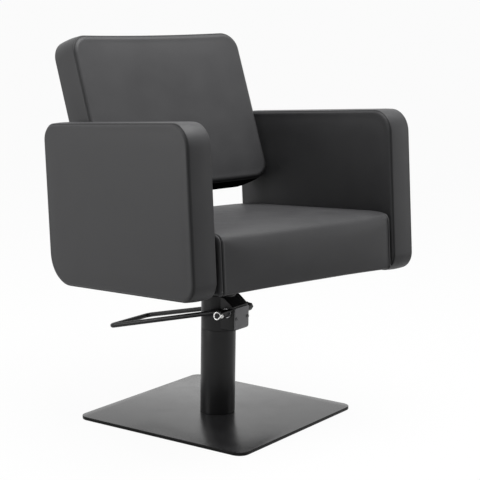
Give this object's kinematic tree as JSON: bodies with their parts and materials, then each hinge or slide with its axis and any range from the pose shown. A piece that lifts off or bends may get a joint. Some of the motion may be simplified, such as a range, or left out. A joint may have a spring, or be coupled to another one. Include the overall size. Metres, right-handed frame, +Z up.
{
  "type": "hairdressing chair",
  "caption": "Upholstered hairdressing chair with panel arms, a waterfall seat and a raked back on a swivelling hydraulic column with a foot pedal and a square floor plate.",
  "frame": {"origin": "on the floor under the middle of the floor plate, on the column's axis", "axes": "+Z up along the column, -Y the way the sitter faces, +X to the sitter's left"},
  "size_m": [0.63, 0.6397, 0.8608],
  "materials": {
    "black_vinyl": "satin",
    "satin_black_paint": "satin",
    "grey_paint": "satin",
    "bright_zinc": "satin",
    "chromed_steel": "polished",
    "plain_steel": "satin",
    "black_rubber": "matte",
    "plywood": "matte",
    "black_lining": "matte"
  },
  "bodies": {
    "base": {"base_plate": "satin_black_paint", "base_screw_1": "plain_steel", "base_screw_2": "plain_steel", "base_screw_3": "plain_steel", "base_screw_4": "plain_steel", "foot_plug": "plain_steel", "column_tube": "satin_black_paint", "pump_head": "satin_black_paint", "head_cover": "grey_paint", "cover_screw_1": "grey_paint", "cover_screw_2": "grey_paint", "pressure_cylinder": "plain_steel", "gland_nut": "satin_black_paint", "wiper_seal": "black_rubber", "pump_barrel": "plain_steel", "spring_post": "satin_black_paint", "return_spring": "bright_zinc"},
    "lift": {"piston": "plain_steel", "piston_seal": "black_rubber", "thrust_washer": "plain_steel"},
    "chair": {"ram": "chromed_steel", "seat_bracket": "satin_black_paint", "bracket_bolt_1": "plain_steel", "bracket_bolt_2": "plain_steel", "bracket_bolt_3": "plain_steel", "bracket_bolt_4": "plain_steel", "seat_frame": "plywood", "seat_cushion": "black_vinyl", "dust_cover": "black_lining", "right_arm_frame": "plywood", "right_arm_cover": "black_vinyl", "right_arm_bolt_1": "plain_steel", "right_arm_bolt_2": "plain_steel", "left_arm_frame": "plywood", "left_arm_cover": "black_vinyl", "left_arm_bolt_1": "plain_steel", "left_arm_bolt_2": "plain_steel", "back_board": "plywood", "back_cushion": "black_vinyl", "back_panel": "black_vinyl", "right_back_bolt_1": "plain_steel", "right_back_bolt_2": "plain_steel", "left_back_bolt_1": "plain_steel", "left_back_bolt_2": "plain_steel", "right_back_spacer_1": "black_rubber", "right_back_spacer_2": "black_rubber", "left_back_spacer_1": "black_rubber", "left_back_spacer_2": "black_rubber"},
    "pedal": {"pedal_bar": "satin_black_paint", "pedal_shaft": "plain_steel", "pump_cam": "plain_steel", "shaft_washer_1": "plain_steel", "shaft_washer_2": "plain_steel", "shaft_nut": "satin_black_paint"},
    "plunger": {"plunger": "plain_steel"}
  },
  "joints": [
    {"name": "lift_slide", "type": "slide", "parent": "base", "child": "lift", "axis": [0, 0, 1], "range_m": [0, 0.15]},
    {"name": "swivel", "type": "hinge", "parent": "lift", "child": "chair", "pos_m": [0, 0, 0.06], "axis": [0, 0, 1], "continuous": true},
    {"name": "pedal_hinge", "type": "hinge", "parent": "base", "child": "pedal", "pos_m": [0.01191, -0.04443, 0.2505], "axis": [0.9659, 0.2588, 0], "range_deg": [-24, 0], "stiffness_Nm_per_rad": 8, "springref_deg": 14.32, "deforming": ["return_spring"]},
    {"name": "plunger_slide", "type": "slide", "parent": "base", "child": "plunger", "axis": [0, 0, 1], "range_m": [-0.00691, 0]}
  ],
  "couplings": [
    {"joint": "plunger_slide", "follows": "pedal_hinge", "m_per_rad": 0.0165}
  ]
}
